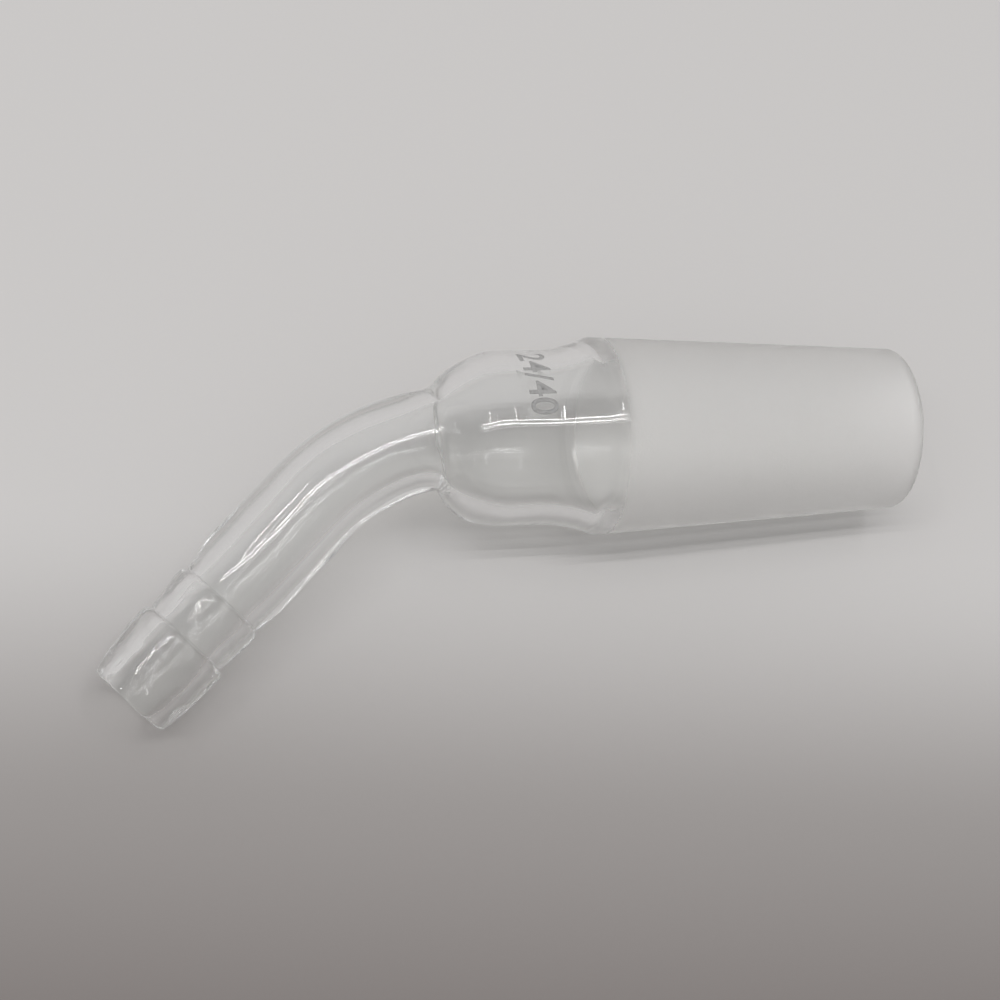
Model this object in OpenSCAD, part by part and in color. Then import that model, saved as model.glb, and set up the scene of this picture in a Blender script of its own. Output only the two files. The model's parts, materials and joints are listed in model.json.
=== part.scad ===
// Vacuum take-off adapter: a ground cone, a round body and a bent tube with a serrated hose end.
// It is one piece of blown glass and lies as it comes to rest, on its cone and on its hose tip.
// Sizes in millimetres, +Z up, origin at the centre of the cone's gauge plane.

/* [Ground joint] */
// Diameter at the gauge plane, where the ground cone is widest
gauge_diameter = 24; // [20:0.5:30]
// Length of the ground cone along its axis
ground_length = 40; // [25:1:60]
// Loss of diameter per unit of length
taper_share = 0.1; // [0.06:0.01:0.14]
// Fire-polished rounding of the cone's open rim
cone_rim_round = 0.9; // [0.4:0.1:1.1]

/* [Body] */
// How far the body's radius stays under the cone's at the gauge plane
flare_step = 1.5; // [0.5:0.1:3]
// Distance from the gauge plane to the start of the shoulder
body_length = 11.4; // [9:0.5:30]
// Radius of the hollow flare that joins the body to the cone
flare_radius = 17; // [10:1:24]
// Radius of the round shoulder behind the body
shoulder_radius = 9; // [8:0.5:10]
// Hollow fillet where the tube is sealed to the shoulder
seal_fillet = 1.7; // [0.8:0.1:2.5]
// Depth by which that fillet's narrow end is sunk into the tube
seal_bite = 0.25; // [0.15:0.05:0.5]
// Wall thickness of the body and the tube
wall = 2.4; // [1.6:0.1:2.8]

/* [Bent tube] */
// Outer diameter of the tube
tube_diameter = 12; // [10:0.5:13]
// Angle at which the tube leaves the seal, in degrees
seal_angle = 9; // [4:0.5:14]
// Angle between the joint axis and the hose axis, in degrees
bend_angle = 45; // [45:45:90]
// Centreline radius of the bend
bend_radius = 26; // [20:0.5:40]
// Straight tube between the bend and the hose connection
straight_run = 9; // [4:0.5:30]

/* [Hose connection] */
// Length over which the tube narrows to the first crease
narrowing = 6; // [3:0.2:10]
// Diameter in the two creases
crease_diameter = 10.5; // [9.4:0.1:11]
// Widest diameter of the first barb
first_barb_diameter = 11.6; // [11.2:0.1:13]
// Widest diameter of the second barb
second_barb_diameter = 11.9; // [11.2:0.1:13]
// Distance from a crease to the widest place of its barb
barb_nose = 0.8; // [0.8:0.1:2]
// Distance between the two creases
barb_pitch = 6; // [4:0.2:9]
// Distance from the second crease to the open end
tip_run = 9.5; // [6:0.2:14]
// Diameter of the open end
tip_diameter = 10.4; // [9.4:0.1:11]
// Fire-polished rounding of the open end
tip_round = 0.6; // [0.3:0.1:0.7]

/* [Hidden] */
$fn = 96;
// Steps along each arc of an outline
arc_steps = 8;
// How far a bore runs out past the rim that it opens
overrun = 2;
gauge_r = gauge_diameter / 2;
body_r = gauge_r - flare_step;
tube_r = tube_diameter / 2;
crease_r = crease_diameter / 2;
tip_r = tip_diameter / 2;

// Joint axis: heights are counted from the gauge plane, below zero towards the tube
slope_share = taper_share / 2;
rim_start = ground_length - cone_rim_round;
rim_r = gauge_r - slope_share * rim_start;
flare_r = body_r + flare_radius;
flare_run = sqrt(pow(flare_radius, 2) - pow(flare_r - gauge_r, 2));
shoulder_r = body_r - shoulder_radius;
seal_r = tube_r - seal_bite + seal_fillet;
seal_run = sqrt(pow(shoulder_radius + seal_fillet, 2) - pow(seal_r - shoulder_r, 2));
tube_start = body_length + seal_run;
// Direction from the fillet's centre to the shoulder's, where the two arcs meet
shoulder_angle = atan2(seal_run, shoulder_r - seal_r);

// Hose axis: heights are counted from the end of the bend
first_crease = straight_run + narrowing;
first_barb = first_crease + barb_nose;
second_crease = first_crease + barb_pitch;
second_barb = second_crease + barb_nose;
hose_end = second_crease + tip_run;
tip_start = hose_end - tip_round;

// The bend starts inside the shoulder, so that it crosses the joint axis at the seal
bend_start = tube_start - bend_radius * sin(seal_angle);
bend_lift = bend_radius * (1 - cos(seal_angle));

// Place of the hose tip beside the joint axis, in the plane of the bend
tip_back = bend_start + bend_radius * sin(bend_angle) + tip_start * cos(bend_angle);
tip_aside = bend_radius * (1 - cos(bend_angle)) + tip_start * sin(bend_angle) - bend_lift;

// Rest attitude: the cone lies along one of its lines, and the part rolls until the tip's rim touches.
// The tip's height over the table gives a quadratic in the sine of the roll.
tilt = atan(slope_share);
tip_height = tip_back * sin(tilt) + gauge_r * cos(tilt) - tip_round;
rim_circle_r = tip_r - tip_round;
axis_rise_share = cos(bend_angle) * sin(tilt);
axis_fall_share = sin(bend_angle);
square_term = pow(tip_aside, 2) + pow(rim_circle_r * axis_fall_share, 2);
middle_term = tip_height * tip_aside + pow(rim_circle_r, 2) * axis_rise_share * axis_fall_share;
last_term = pow(tip_height, 2) - pow(rim_circle_r, 2) * (1 - pow(axis_rise_share, 2));
fall_share = (middle_term - sqrt(pow(middle_term, 2) - square_term * last_term)) / square_term;
roll = asin(fall_share / cos(tilt));

// Points of an arc round a centre, after its first point
function arc(centre, radius, from_angle, to_angle) = [
    for (step = [1 : arc_steps])
        let (angle = from_angle + (to_angle - from_angle) * step / arc_steps)
            centre + radius * [cos(angle), sin(angle)]
];

// Points of an arc that is level at its top and reaches the end radius after a run along the axis.
// Shares of that run say where the points begin and end.
function crown(top, top_r, run, end_r, from_share, to_share) =
    let (radius = (pow(run, 2) + pow(top_r - end_r, 2)) / (2 * (top_r - end_r)))
        let (sweep = asin(run / radius))
            arc([top_r - radius, top], radius, sweep * from_share, sweep * to_share);

// Half outline of the joint from the seal to the start of its rim, moved inward by inset
function joint_outline(inset) = concat(
    [[0, -tube_start], [seal_r - seal_fillet - inset, -tube_start]],
    arc([seal_r, -tube_start], seal_fillet + inset, 180, shoulder_angle),
    arc([shoulder_r, -body_length], shoulder_radius - inset, shoulder_angle - 180, 0),
    [[body_r - inset, -flare_run]],
    arc([flare_r, -flare_run], flare_radius + inset, 180, 180 - asin(flare_run / (flare_radius + inset))),
    [[rim_r - inset, rim_start]]
);

// Outline of a solid's end, with its outer edge rounded
function round_end(radius, start, round_r) = concat(
    arc([radius - round_r, start], round_r, 0, 90),
    [[0, start + round_r]]
);

// Outline of a bore's mouth, which opens in a rounded edge and runs out past it
function round_mouth(radius, start, round_r) = concat(
    arc([radius + round_r, start], round_r, 180, 90),
    [[radius + round_r, start + round_r + overrun], [0, start + round_r + overrun]]
);

// Half outline of the hose connection: tube, then two barbs with a crease before each
function hose_outline() = let (first_r = first_barb_diameter / 2, second_r = second_barb_diameter / 2) concat(
    [[0, 0], [tube_r, 0], [tube_r, straight_run]],
    crown(straight_run, tube_r, narrowing, crease_r, 0, 1),
    crown(first_barb, first_r, -barb_nose, crease_r, 1, 0),
    crown(first_barb, first_r, barb_pitch - barb_nose, crease_r, 0, 1),
    crown(second_barb, second_r, -barb_nose, crease_r, 1, 0),
    crown(second_barb, second_r, tip_start - second_barb, tip_r, 0, 1)
);

// Bend of round bar to the hose side, with the hose connection as its child.
// All round stretches are turned so that their seams lie on the outer side of the bend.
module bent_tube(radius) {
    translate([-bend_start, bend_lift - bend_radius, 0]) {
        rotate([0, 0, 90])
            rotate_extrude(angle = bend_angle)
                translate([bend_radius, 0])
                    circle(r = radius);
        rotate([0, 0, bend_angle])
            translate([0, bend_radius, 0])
                rotate([-90, 0, 90])
                    children();
    }
}

// Outer form of the glass, with the joint axis along +X and the bend towards -Y
module glass_form() {
    rotate([90, 0, 90])
        rotate_extrude()
            polygon(concat(joint_outline(0), round_end(rim_r, rim_start, cone_rim_round)));
    bent_tube(tube_r)
        rotate_extrude()
            polygon(concat(hose_outline(), round_end(tip_r, tip_start, tip_round)));
}

// Passage for the gas, from the open cone to the hose tip
module gas_passage() {
    rotate([90, 0, 90])
        rotate_extrude()
            polygon(concat(joint_outline(wall), round_mouth(rim_r - wall, rim_start, cone_rim_round)));
    bent_tube(tube_r - wall)
        rotate_extrude()
            polygon(concat([[0, 0], [tube_r - wall, 0], [tube_r - wall, tip_start]],
                round_mouth(tube_r - wall, tip_start, tip_round)));
}

// The whole adapter, turned to its rest attitude
module adapter() {
    color([0.86, 0.9, 0.9, 0.5])
        rotate([roll, tilt, 0])
            difference() {
                glass_form();
                gas_passage();
            }
}

adapter();
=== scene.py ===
# %% [markdown]
# A vacuum take-off adapter is one piece of blown laboratory glass: a ground cone that fits a
# flask's socket, a short round body, and a bent tube that ends in a serrated hose connection.
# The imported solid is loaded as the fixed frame. Its own mesh is made of many narrow conical bands,
# which clear glass would show as rings, so the glass is modelled again here as one smooth skin.

# %% Load the frame
import json
import math

import bpy
from mathutils import Matrix, Vector


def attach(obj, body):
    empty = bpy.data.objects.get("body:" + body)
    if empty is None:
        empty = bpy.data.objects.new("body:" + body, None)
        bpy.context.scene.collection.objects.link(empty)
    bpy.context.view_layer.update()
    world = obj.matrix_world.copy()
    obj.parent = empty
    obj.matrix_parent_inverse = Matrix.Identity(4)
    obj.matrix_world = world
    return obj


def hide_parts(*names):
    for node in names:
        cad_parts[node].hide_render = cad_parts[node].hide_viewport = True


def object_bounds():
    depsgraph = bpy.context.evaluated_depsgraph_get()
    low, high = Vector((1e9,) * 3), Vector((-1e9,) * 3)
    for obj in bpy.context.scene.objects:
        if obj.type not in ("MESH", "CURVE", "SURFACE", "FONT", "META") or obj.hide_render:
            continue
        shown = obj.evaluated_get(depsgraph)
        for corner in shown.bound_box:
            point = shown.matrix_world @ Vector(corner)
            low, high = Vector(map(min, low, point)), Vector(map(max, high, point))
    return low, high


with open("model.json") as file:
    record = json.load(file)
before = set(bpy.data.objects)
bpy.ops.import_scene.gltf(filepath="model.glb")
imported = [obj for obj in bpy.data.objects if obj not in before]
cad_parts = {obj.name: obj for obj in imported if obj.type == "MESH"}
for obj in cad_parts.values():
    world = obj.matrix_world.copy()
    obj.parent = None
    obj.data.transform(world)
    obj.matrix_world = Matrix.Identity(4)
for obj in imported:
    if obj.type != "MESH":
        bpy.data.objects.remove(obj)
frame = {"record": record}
cad_box = [[float(value) for value in corner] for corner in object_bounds()]
MM = 0.001
mounts = {mount["name"]: mount for mount in frame["record"]["mounts"]}
print("CAD box", cad_box, "mounts", sorted(mounts))

# %% [markdown]
# The camera comes first. The photograph looks down on the table from the lower left, with a normal
# lens from about a quarter of a metre. A camera can be aimed with a constraint, but a fixed place and
# three turns are easier to keep. Thick glass sends light back and forth inside its wall, so more bounces
# are allowed than usual, or the seal would turn black.

# %% Camera
bpy.ops.object.select_all(action="DESELECT")
bpy.ops.object.camera_add(
    location=(-62.19 * MM, -80.70 * MM, 219.25 * MM),
    rotation=[math.radians(turn) for turn in (19.394, -10.694, -6.758)],
)
camera = bpy.context.object
camera.name = "table_camera"
camera.data.sensor_width = 36
camera.data.lens = 71.65
camera.data.clip_start = 0.01
bpy.context.scene.camera = camera
bpy.context.scene.view_settings.view_transform = "Standard"
bounces = bpy.context.scene.cycles
bounces.max_bounces = bounces.transmission_bounces = 64
bounces.glossy_bounces = bounces.transparent_max_bounces = 32
print("camera", [round(value, 4) for value in camera.location])

# %% [markdown]
# Node graphs for materials soon become hard to read, so a small class wraps a socket and lets
# the shader sums below be written as plain expressions. Any other node comes from one method.

# %% Shader sums
class Wire:
    """An output socket that can be added, subtracted and multiplied."""

    def __init__(self, tree, socket):
        self.tree = tree
        self.socket = socket

    def node(self, kind, settings=None, out=0, **values):
        made = self.tree.nodes.new(kind)
        for name, value in (settings or {}).items():
            setattr(made, name, value)
        for name, value in values.items():
            numbered = name[0] == "i" and name[1:].isdigit()
            slot = made.inputs[int(name[1:]) if numbered else name]
            if isinstance(value, Wire):
                self.tree.links.new(value.socket, slot)
            else:
                slot.default_value = value
        return Wire(self.tree, made.outputs[out])

    def sum(self, operation, first, second):
        return self.node("ShaderNodeMath", {"operation": operation}, i0=first, i1=second)

    def __add__(self, other):
        return self.sum("ADD", self, other)

    def __radd__(self, other):
        return self.sum("ADD", other, self)

    def __sub__(self, other):
        return self.sum("SUBTRACT", self, other)

    def __rsub__(self, other):
        return self.sum("SUBTRACT", other, self)

    def __mul__(self, other):
        return self.sum("MULTIPLY", self, other)

    def __rmul__(self, other):
        return self.sum("MULTIPLY", other, self)

    def ramp(self, low, high, start=0.0, end=1.0):
        """A soft step from start at low to end at high."""
        settings = {"interpolation_type": "SMOOTHSTEP"}
        return self.node("ShaderNodeMapRange", settings, i0=self, i1=low, i2=high, i3=start, i4=end)


def new_material(name):
    """A material, its Principled shader and its Object coordinates."""
    material = bpy.data.materials.new(name)
    material.use_nodes = True
    tree = material.node_tree
    shader = tree.nodes["Principled BSDF"]
    place = Wire(tree, tree.nodes.new("ShaderNodeTexCoord").outputs["Object"])
    return material, shader, place


print("shader sums ready")

# %% [markdown]
# The table is a sheet of pale paper. It lies just under the lowest line of the glass, shows a very
# faint tooth, and has a painted shade in its colour: darker towards the near side, where less light
# falls, and pale again beyond.

# %% Paper
bpy.ops.object.select_all(action="DESELECT")
bpy.ops.mesh.primitive_plane_add(size=3, location=(0, 0, cad_box[0][2] - 0.04 * MM))
paper = bpy.context.object
paper.name = "paper"
material, shader, place = new_material("pale_paper")
# Painted shade: the paper's colour is mixed darker towards the near side and pale again further out.
across = place.node("ShaderNodeVectorMath", {"operation": "DOT_PRODUCT"}, out=1, i0=place, i1=(0.12, 1, 0))
near = across.ramp(-0.045, -0.008) * 0.40 + across.ramp(-0.110, -0.010) * 0.60
shade = near + across.ramp(-0.13, -0.066, 1.0, 0.0)
painted_shade_colour = place.node(
    "ShaderNodeMix", {"data_type": "RGBA"}, out=2, i0=shade, i6=(0.112, 0.088, 0.080, 1), i7=(0.60, 0.585, 0.578, 1)
)
tooth = place.node("ShaderNodeTexNoise", {}, Vector=place, Scale=1400.0, Detail=4.0)
bump = place.node("ShaderNodeBump", {}, Strength=0.25, Distance=0.00006, Height=tooth)
place.tree.links.new(painted_shade_colour.socket, shader.inputs["Base Color"])
place.tree.links.new(bump.socket, shader.inputs["Normal"])
shader.inputs["Roughness"].default_value = 0.85
paper.data.materials.append(material)
print("paper at", round(cad_box[0][2] * 1000, 3), "mm")

# %% [markdown]
# Plain soft light: a pale room all round, and a few thin lamp tubes under the ceiling. On round glass
# each tube draws a thin bright line along the body and the bend, where a large soft lamp would only
# leave a broad haze. The room is darker low down and on the near side, which gives the glass its edges.

# %% Room and lamps
world = bpy.data.worlds.new("pale_room")
bpy.context.scene.world = world
world.use_nodes = True
tree = world.node_tree
sky = tree.nodes["Background"]
look = Wire(tree, tree.nodes.new("ShaderNodeTexCoord").outputs["Generated"])
height = look.node("ShaderNodeSeparateXYZ", out=2, Vector=look)
depth = look.node("ShaderNodeSeparateXYZ", out=1, Vector=look)
light = height.ramp(-0.1, 0.8) * 0.45 + depth.ramp(-0.9, 0.4) * 0.55
room = look.node(
    "ShaderNodeMix", {"data_type": "RGBA"}, out=2, i0=light, i6=(0.66, 0.65, 0.64, 1), i7=(1.0, 1.0, 1.0, 1)
)
tree.links.new(room.socket, sky.inputs["Color"])
sky.inputs["Strength"].default_value = 0.56


def tube_lamp(name, centre, length, turn):
    """A bright ceiling tube, level, with its length turned from the X axis."""
    bpy.ops.object.light_add(type="AREA", location=centre, rotation=(0, 0, math.radians(turn)))
    lamp = bpy.context.object
    lamp.name = name
    lamp.data.shape = "RECTANGLE"
    lamp.data.size = length
    lamp.data.size_y = 0.014
    lamp.data.energy = 190 * length * lamp.data.size_y
    print(name, round(lamp.data.energy, 2), "W")


tube_lamp("near_tube", (-0.30, -0.054, 1.3), 1.5, 0)
tube_lamp("far_tube", (-0.30, 0.054, 1.3), 1.5, 0)
tube_lamp("cross_tube", (0.30, 0.25, 1.3), 0.4, 90)
tube_lamp("end_tube", (-0.60, 0.25, 1.3), 0.4, 90)

# %% [markdown]
# The glass. A glassblower starts from straight tubing, turns it in the flame, and bends it last, and
# the model is made in the same order: half an outline is drawn point by point, spun round the joint
# axis into a straight hollow form, and then bent along a path. Extruding ring after ring along the bend
# would work too, but one outline keeps the wall even and leaves no seam.

# %% Sizes of the glass
joint = mounts["ground_cone"]
hose = mounts["hose_connection"]
GAUGE_R = joint["dims"]["r_mm"]
GROUND = joint["dims"]["length_mm"]
SLOPE = 0.05
RIM_ROUND = 0.9
FLARE_STEP = 1.5
BODY_R = GAUGE_R - FLARE_STEP
BODY = 11.4
FLARE_R = 17.0
SHOULDER_R = 9.0
FILLET_R = 1.7
WALL = 2.4
TUBE_R = 6.0
SEAL_ANGLE = math.radians(9)
BEND_ANGLE = math.radians(45)
BEND_R = 26.0
CREASE_R = 5.25
FIRST_BARB_R = 5.8
SECOND_BARB_R = hose["dims"]["r_mm"]
TIP_R = 5.2
TIP_ROUND = 0.6
LEAN_START = 13.0
STRAIGHT = 9.0
FIRST_CREASE = 15.0
SECOND_CREASE = 21.0
BARB_NOSE = 0.8
HOSE_END = FIRST_CREASE + hose["dims"]["length_mm"]
print("gauge radius", GAUGE_R, "mm, ground length", GROUND, "mm")

# %% Outline
def arc(centre, radius, start, end, steps):
    """Points of an arc in the half outline, as (along, out) pairs in millimetres, angles in degrees."""
    turns = [math.radians(start + (end - start) * step / steps) for step in range(steps + 1)]
    return [(centre[0] + radius * math.cos(turn), centre[1] + radius * math.sin(turn)) for turn in turns]


def line(start, end, steps):
    """Points of a straight stretch, without its first point."""
    return [
        (start[0] + (end[0] - start[0]) * step / steps, start[1] + (end[1] - start[1]) * step / steps)
        for step in range(1, steps + 1)
    ]


flare_run = math.sqrt(FLARE_R**2 - (FLARE_R - FLARE_STEP) ** 2)
seal_run = math.sqrt((SHOULDER_R + FILLET_R) ** 2 - (TUBE_R + FILLET_R - BODY_R + SHOULDER_R) ** 2)
seal_at = -BODY - seal_run


def cone_outline(inset):
    """From the cone's rim back to the end of the flare, moved inward by inset."""
    rim = GROUND - RIM_ROUND
    turn = math.degrees(math.asin(flare_run / (FLARE_R + inset)))
    flare = arc((-flare_run, BODY_R + FLARE_R), FLARE_R + inset, -90 + turn, -90, 14)
    start = (rim, GAUGE_R - SLOPE * rim - inset)
    return [start] + line(start, flare[0], 24) + flare[1:]


def shoulder_outline():
    """The outer skin of the shoulder and of the hollow fillet where the tube is sealed on."""
    shoulder = BODY_R - SHOULDER_R
    seal = TUBE_R + FILLET_R
    meet = math.degrees(math.atan2(seal - shoulder, -seal_run))
    points = line((-flare_run, BODY_R), (-BODY, BODY_R), 5)
    points += arc((-BODY, shoulder), SHOULDER_R, 90, meet, 26)[1:]
    return points + arc((seal_at, seal), FILLET_R, meet - 180, -90, 12)[1:]


def funnel_outline():
    """The inner skin narrows to the bore in one easy curve of two equal arcs."""
    start = (-BODY + 1.5, BODY_R - WALL)
    end = (seal_at - 2.5, TUBE_R - WALL)
    run = start[0] - end[0]
    fall = start[1] - end[1]
    bow = (run**2 + fall**2) / (4 * fall)
    turn = math.degrees(math.asin(run / 2 / bow))
    points = line((-flare_run, start[1]), start, 3)
    points += arc((start[0], start[1] - bow), bow, 90, 90 + turn, 16)[1:]
    return points + arc((end[0], end[1] + bow), bow, -90 + turn, -90, 16)[1:]


def crown(top, radius, end, end_radius, steps, rising=False):
    """A round brow, level at its top, that falls to end_radius at end."""
    run = abs(end - top)
    fall = radius - end_radius
    swing = (run**2 + fall**2) / (2 * fall)
    turn = math.asin(run / swing)
    side = 1 if end > top else -1
    points = [
        (top + side * swing * math.sin(turn * step / steps), radius - swing * (1 - math.cos(turn * step / steps)))
        for step in range(steps + 1)
    ]
    return points[::-1] if rising else points


bend_run = BEND_R * (BEND_ANGLE - SEAL_ANGLE)
hose_at = seal_at - bend_run


def hose_place(points):
    """Heights on the hose axis become places on the straight form."""
    return [(hose_at - height, out) for height, out in points]


outer = cone_outline(0) + shoulder_outline()
outer += line(outer[-1], (hose_at, TUBE_R), 44)
outer += line(outer[-1], (hose_at - STRAIGHT, TUBE_R), 16)
first_barb = FIRST_CREASE + BARB_NOSE
second_barb = SECOND_CREASE + BARB_NOSE
tip_start = HOSE_END - TIP_ROUND
outer += hose_place(crown(STRAIGHT, TUBE_R, FIRST_CREASE, CREASE_R, 16))[1:]
outer += hose_place(crown(first_barb, FIRST_BARB_R, FIRST_CREASE, CREASE_R, 8, rising=True))[1:]
outer += hose_place(crown(first_barb, FIRST_BARB_R, SECOND_CREASE, CREASE_R, 18))[1:]
outer += hose_place(crown(second_barb, SECOND_BARB_R, SECOND_CREASE, CREASE_R, 8, rising=True))[1:]
outer += hose_place(crown(second_barb, SECOND_BARB_R, tip_start, TIP_R, 26))[1:]
tip = hose_at - tip_start
outer += arc((tip, TIP_R - TIP_ROUND), TIP_ROUND, 90, 180, 6)[1:]
BORE_R = TUBE_R - WALL
mouth = arc((tip, BORE_R + TIP_ROUND), TIP_ROUND, 180, 270, 6)
inner = cone_outline(WALL) + funnel_outline()
back = mouth + line(mouth[-1], (hose_at, BORE_R), 50)
back += line((hose_at, BORE_R), inner[-1], 44) + inner[::-1][1:]
rim = GROUND - RIM_ROUND
rim_in = inner[0][1] + RIM_ROUND
rim_out = outer[0][1] - RIM_ROUND
lip = arc((rim, rim_in), RIM_ROUND, -90, 0, 6)[1:] + arc((rim, rim_out), RIM_ROUND, 0, 90, 6)[:-1]
outline = outer + back + lip
print("outline of", len(outline), "points, straight length", round(outline[0][0] - tip, 2), "mm")

# %% [markdown]
# The outline is drawn by extruding one point from stop to stop, and Spin carries it round the joint
# axis. Spin can leave doubled points on its first line and faces that look inward, so the doubles are
# merged and the normals worked out again.

# %% Spin the outline into a straight form
bpy.ops.object.select_all(action="DESELECT")
bpy.ops.mesh.primitive_plane_add(size=MM)
glass = bpy.context.object
glass.name = "adapter_glass"
bpy.ops.object.mode_set(mode="EDIT")
bpy.ops.mesh.select_all(action="SELECT")
bpy.ops.mesh.merge(type="CENTER")
straight = [((GROUND - along) * MM, out * MM, 0) for along, out in outline + outline[:1]]
bpy.ops.transform.translate(value=straight[0])
for before, after in zip(straight, straight[1:]):
    step = [end - start for start, end in zip(before, after)]
    bpy.ops.mesh.extrude_vertices_move(TRANSFORM_OT_translate={"value": step})
bpy.ops.mesh.select_all(action="SELECT")
bpy.ops.mesh.remove_doubles(threshold=0.001 * MM)
bpy.ops.mesh.spin(steps=128, angle=math.tau, center=(0, 0, 0), axis=(1, 0, 0), use_auto_merge=True)
bpy.ops.mesh.select_all(action="SELECT")
bpy.ops.mesh.remove_doubles(threshold=0.001 * MM)
bpy.ops.mesh.normals_make_consistent(inside=False)
bpy.ops.object.mode_set(mode="OBJECT")
bpy.ops.object.shade_smooth()
print("straight form", len(glass.data.polygons), "faces")

# %% [markdown]
# The tube leaves the shoulder a little askew and then bends. A Curve modifier moves the straight form
# along a path, and five knots are enough for one: two on the joint axis, one at the seal, one at each end
# of the hose. The handles of the bend are set to the length at which they follow a true arc.

# %% Path of the bend
bpy.ops.object.select_all(action="DESELECT")
bpy.ops.curve.primitive_bezier_curve_add(radius=MM)
path = bpy.context.object
path.name = "bend_path"
path.data.dimensions = "2D"
path.data.resolution_u = 64
turn_in = GROUND + LEAN_START
seal_x = GROUND - seal_at
blend = (seal_x - turn_in) / 3
swing = 4 / 3 * math.tan((BEND_ANGLE - SEAL_ANGLE) / 4) * BEND_R
bend_end = (
    seal_x + BEND_R * (math.sin(BEND_ANGLE) - math.sin(SEAL_ANGLE)),
    BEND_R * (math.cos(SEAL_ANGLE) - math.cos(BEND_ANGLE)),
)
hose_end = (bend_end[0] + HOSE_END * math.cos(BEND_ANGLE), bend_end[1] + HOSE_END * math.sin(BEND_ANGLE))
stations = [
    ((0, 0), 0, 10, 10),
    ((turn_in, 0), 0, 10, blend),
    ((seal_x, 0), SEAL_ANGLE, blend, swing),
    (bend_end, BEND_ANGLE, swing, 10),
    (hose_end, BEND_ANGLE, 10, 10),
]
spline = path.data.splines[0]
spline.bezier_points.add(len(stations) - len(spline.bezier_points))
for knot, (spot, heading, before, after) in zip(spline.bezier_points, stations):
    knot.handle_left_type = knot.handle_right_type = "FREE"
    ahead = Vector((math.cos(heading), math.sin(heading), 0)) * MM
    knot.co = Vector((spot[0], spot[1], 0)) * MM
    knot.handle_left = knot.co - ahead * before
    knot.handle_right = knot.co + ahead * after
print("path ends at", [round(value, 2) for value in hose_end], "mm")

# %% Bend the glass
bpy.ops.object.select_all(action="DESELECT")
glass.select_set(True)
bpy.context.view_layer.objects.active = glass
bend = glass.modifiers.new("bend", "CURVE")
bend.object = path
bend.deform_axis = "POS_X"
bpy.ops.object.modifier_apply(modifier="bend")
bpy.data.objects.remove(path)
print("bent form reaches", [round(value * 1000, 2) for value in glass.dimensions], "mm")

# %% [markdown]
# The seal, the bend and above all the barbs are worked by hand in a flame, so their skin is never quite
# true. Two Displace modifiers with a cloud pattern do that: a long slow one over the tube, and a
# shorter, stronger one on the barbs. Vertex groups keep both away from the ground cone.

# %% Waves of handwork
def waves(group, name, size, strength):
    """Displace the points of a vertex group by a soft cloud pattern of the given size."""
    cloud = bpy.data.textures.new(name, "CLOUDS")
    cloud.noise_scale = size
    cloud.noise_depth = 1
    displace = glass.modifiers.new(name, "DISPLACE")
    displace.texture = cloud
    displace.texture_coords = "LOCAL"
    displace.vertex_group = group.name
    displace.strength = strength
    displace.mid_level = 0.5
    bpy.ops.object.modifier_apply(modifier=name)


def soft(value, low, high):
    share = min(max((value - low) / (high - low), 0), 1)
    return share * share * (3 - 2 * share)


tube_group = glass.vertex_groups.new(name="tube")
barb_group = glass.vertex_groups.new(name="barbs")
hose_way = Vector((math.cos(BEND_ANGLE), math.sin(BEND_ANGLE), 0))
hose_start = Vector((bend_end[0], bend_end[1], 0)) * MM
for point in glass.data.vertices:
    along_hose = (point.co - hose_start).dot(hose_way) / MM if point.co.x > seal_x * MM else -99
    tube_group.add([point.index], soft(point.co.x / MM, GROUND + 9, GROUND + 20), "REPLACE")
    barb_group.add([point.index], soft(along_hose, 13, 16), "REPLACE")
waves(tube_group, "slow_waves", 0.009, 0.00025)
waves(barb_group, "barb_waves", 0.0022, 0.00022)
print("waves on the tube and the barbs")

# %% [markdown]
# On a table the adapter rests on the large end of its cone and on its hose end, which tips and rolls it.
# Both turns can be read from the directions of the two mounts, so the skin lies exactly where the CAD
# solid does. The turns are applied, and the finished object stays at the origin.

# %% Lay the glass down
tilt = math.asin(-joint["axis"][2])
roll = math.acos(-hose["axis"][1] / math.sin(BEND_ANGLE))
glass.data.transform(Matrix.Translation((GROUND * MM, 0, 0)) @ Matrix.Rotation(math.pi, 4, "Z"))
glass.rotation_euler = (roll, tilt, 0)
bpy.ops.object.transform_apply(location=True, rotation=True, scale=True)
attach(glass, "root")
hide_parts("adapter")
low = [min(point.co[axis] for point in glass.data.vertices) * 1000 for axis in range(3)]
high = [max(point.co[axis] for point in glass.data.vertices) * 1000 for axis in range(3)]
print("glass from", [round(value, 2) for value in low], "to", [round(value, 2) for value in high], "mm")

# %% [markdown]
# Clear borosilicate glass is almost colourless and bends light by a factor of about 1.47. Only the
# cone is ground: a fine grain makes it matt and milky from just behind the large end to the polished
# rim. One material does both, and the grain is a mask from the place along the joint axis.

# %% Where the cone is ground
material, shader, place = new_material("borosilicate_glass")
axis = tuple(joint["axis"])
along = place.node("ShaderNodeVectorMath", {"operation": "DOT_PRODUCT"}, out=1, i0=place, i1=axis)
radial = place.node("ShaderNodeVectorMath", {"operation": "SCALE"}, i0=axis, Scale=along)
radial = place.node("ShaderNodeVectorMath", {"operation": "DISTANCE"}, out=1, i0=place, i1=radial)
fine = place.node("ShaderNodeTexNoise", {}, Vector=place, Scale=4200.0, Detail=3.0)
patch = place.node("ShaderNodeTexNoise", {}, Vector=place, Scale=350.0, Detail=2.0)
edge = along + (fine - 0.5) * 0.0006
skin = radial - (GAUGE_R * MM - along * SLOPE)
band = edge.ramp(0.0004, 0.0030) * (1 - edge.ramp(0.0394, 0.0399)) * skin.ramp(-0.0010, -0.0006)
grain = place.node("ShaderNodeBump", {}, Strength=band * 0.5, Distance=0.00008, Height=fine)
rough = 0.04 + band * (0.58 + (patch - 0.5) * 0.12)
print("ground band from the gauge end to", GROUND, "mm")

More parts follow.
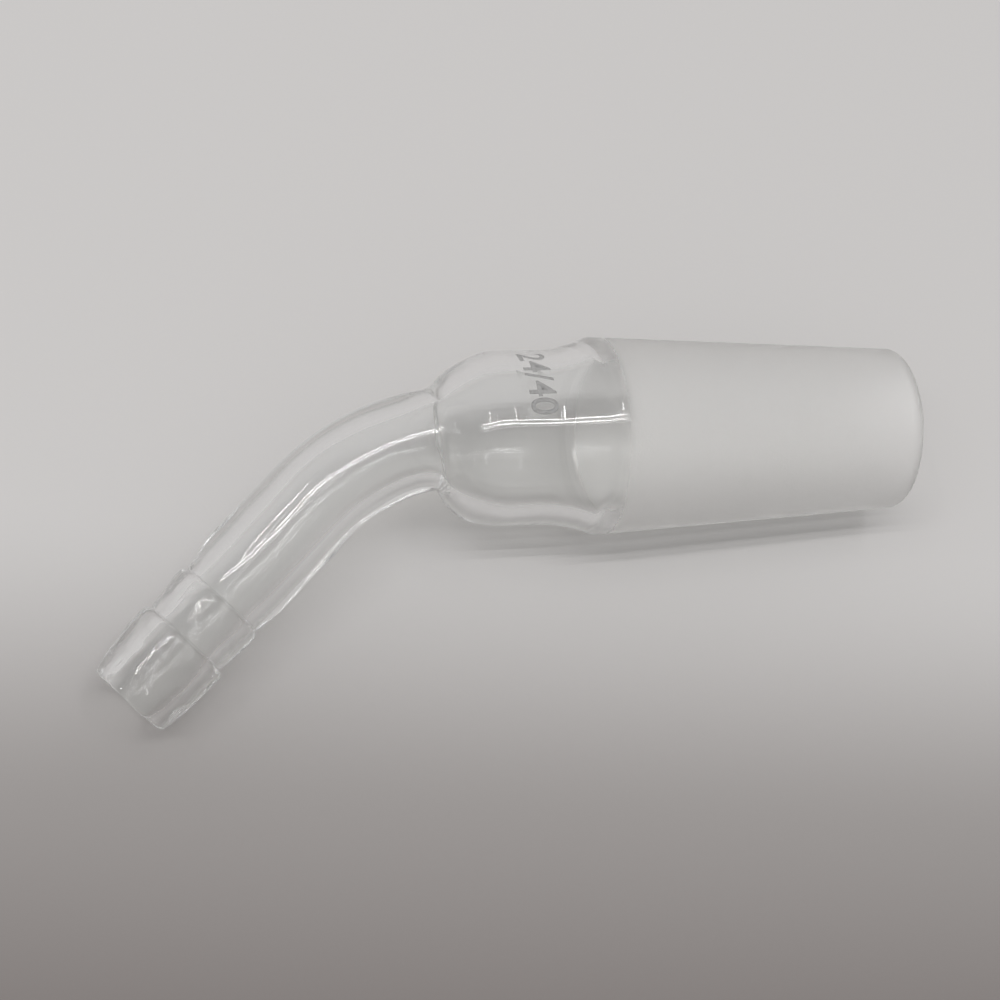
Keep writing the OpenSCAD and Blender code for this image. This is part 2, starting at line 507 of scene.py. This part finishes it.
# %% [markdown]
# The barbs were pressed while the glass was soft, and the tool left fine ridges that run mostly along the
# hose. A noise that is drawn out along the hose axis gives them, as a bump on top of the ground grain.

# %% Ripples on the barbs
hose_axis = Vector(hose["axis"])
crease = Vector(hose["pos_m"]) - hose_axis * hose["dims"]["length_mm"] * MM
reach = place.node("ShaderNodeVectorMath", {"operation": "DOT_PRODUCT"}, out=1, i0=place, i1=tuple(hose_axis))
reach = reach - crease.dot(hose_axis)
worked = reach.ramp(-0.001, 0.0015)
lengthwise = place.node("ShaderNodeVectorMath", {"operation": "SCALE"}, i0=tuple(hose_axis), Scale=reach * 0.86)
drawn = place.node("ShaderNodeVectorMath", {"operation": "SUBTRACT"}, i0=place, i1=lengthwise)
ripple = place.node("ShaderNodeTexNoise", {}, Vector=drawn, Scale=1200.0, Detail=1.0)
grain = place.node("ShaderNodeBump", {}, Strength=worked * 0.6, Distance=0.00009, Height=ripple, Normal=grain)
place.tree.links.new(rough.socket, shader.inputs["Roughness"])
place.tree.links.new(grain.socket, shader.inputs["Normal"])
print("ripples from", [round(value * 1000, 1) for value in crease], "mm")

# %% Clear glass and milky ground glass
shader.inputs["Base Color"].default_value = (0.985, 0.99, 0.988, 1)
shader.inputs["Transmission Weight"].default_value = 1
shader.inputs["IOR"].default_value = 1.474
milk = place.tree.nodes.new("ShaderNodeBsdfPrincipled")
milk.inputs["Base Color"].default_value = (0.82, 0.80, 0.785, 1)
milk.inputs["Roughness"].default_value = 0.9
milk.inputs["Specular IOR Level"].default_value = 0.2
clear = Wire(place.tree, shader.outputs["BSDF"])
milky = Wire(place.tree, milk.outputs["BSDF"])
ground = place.node("ShaderNodeMixShader", {}, i0=band * 0.36, i1=clear, i2=milky)
print("clear and ground glass mixed")

# %% [markdown]
# Light that a lamp sends through glass is slow to find by chance. So shadow and diffuse rays pass straight
# through the skin here, and are darkened where they meet it at a slant, as the edge of a glass's shadow is.

# %% Light through the glass
ray = place.tree.nodes.new("ShaderNodeLightPath")
shadow_ray = Wire(place.tree, ray.outputs["Is Shadow Ray"])
diffuse_ray = Wire(place.tree, ray.outputs["Is Diffuse Ray"])
facing = place.node("ShaderNodeLayerWeight", {}, out=1, Blend=0.5)
middle = place.node("ShaderNodeBsdfTransparent", {}, Color=(0.995, 0.995, 0.99, 1))
side = place.node("ShaderNodeBsdfTransparent", {}, Color=(0.06, 0.06, 0.06, 1))
veil = place.node("ShaderNodeMixShader", {}, i0=facing * (0.16 + facing * 0.84) + band * 0.06, i1=middle, i2=side)
mixed = place.node("ShaderNodeMixShader", {}, i0=shadow_ray, i1=ground, i2=veil)
mixed = place.node("ShaderNodeMixShader", {}, i0=diffuse_ray, i1=mixed, i2=veil)
place.tree.links.new(mixed.socket, place.tree.nodes["Material Output"].inputs["Surface"])
glass.data.materials.clear()
glass.data.materials.append(material)
print("glass material with a ground band")

# %% [markdown]
# The body carries its joint size in small grey enamel figures, printed round the glass. A text object
# is made a mesh and cut into narrow strips, because only then can it be wrapped smoothly round the body.

# %% Printed joint size
PRINT_SIZE = 4.6 * MM
PRINT_BACK = 8.4 * MM
PRINT_TURN = math.radians(22)
PRINT_STRIP = 0.3 * MM
FILM = 0.01 * MM
bpy.ops.object.select_all(action="DESELECT")
bpy.ops.object.text_add()
figures = bpy.context.object
figures.name = "joint_size_print"
figures.data.body = f"{2 * GAUGE_R:.0f}/{GROUND:.0f}"
figures.data.size = PRINT_SIZE
figures.data.offset = 0.05 * MM
figures.data.align_x = "CENTER"
figures.data.align_y = "CENTER"
bpy.ops.object.convert(target="MESH")
bpy.ops.object.mode_set(mode="EDIT")
for cut in range(-26, 27):
    bpy.ops.mesh.select_all(action="SELECT")
    bpy.ops.mesh.bisect(plane_co=(cut * PRINT_STRIP, 0, 0), plane_no=(1, 0, 0))
bpy.ops.object.mode_set(mode="OBJECT")
print_r = (BODY_R + 0.015) * MM
joint_way = Vector(joint["axis"])
up = Vector((0, 0, 1))
up = (up - joint_way * up.dot(joint_way)).normalized()
side_way = joint_way.cross(up)
for point in figures.data.vertices:
    angle = PRINT_TURN - point.co.x / print_r
    out = up * math.cos(angle) + side_way * -math.sin(angle)
    point.co = joint_way * (point.co.y - PRINT_BACK) + out * print_r
film = figures.modifiers.new("film", "SOLIDIFY")
film.thickness = FILM
film.offset = 1
bpy.ops.object.modifier_apply(modifier="film")
print("figures of", len(figures.data.polygons), "faces")

# %% [markdown]
# Printed enamel is a thin matt film, fired onto the glass. It is not quite even, so a fine speck moves its
# grey a little, and it lets some light through.

# %% Enamel
enamel, shader, place = new_material("grey_enamel")
speck = place.node("ShaderNodeTexNoise", {}, Vector=place, Scale=2600.0, Detail=2.0)
wear = place.node(
    "ShaderNodeMix",
    {"data_type": "RGBA"},
    out=2,
    i0=speck.ramp(0.3, 0.7),
    i6=(0.31, 0.308, 0.304, 1),
    i7=(0.39, 0.387, 0.382, 1),
)
place.tree.links.new(wear.socket, shader.inputs["Base Color"])
shader.inputs["Roughness"].default_value = 0.6
shader.inputs["Alpha"].default_value = 0.5
figures.data.materials.append(enamel)
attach(figures, "root")
print("grey enamel on", figures.name)
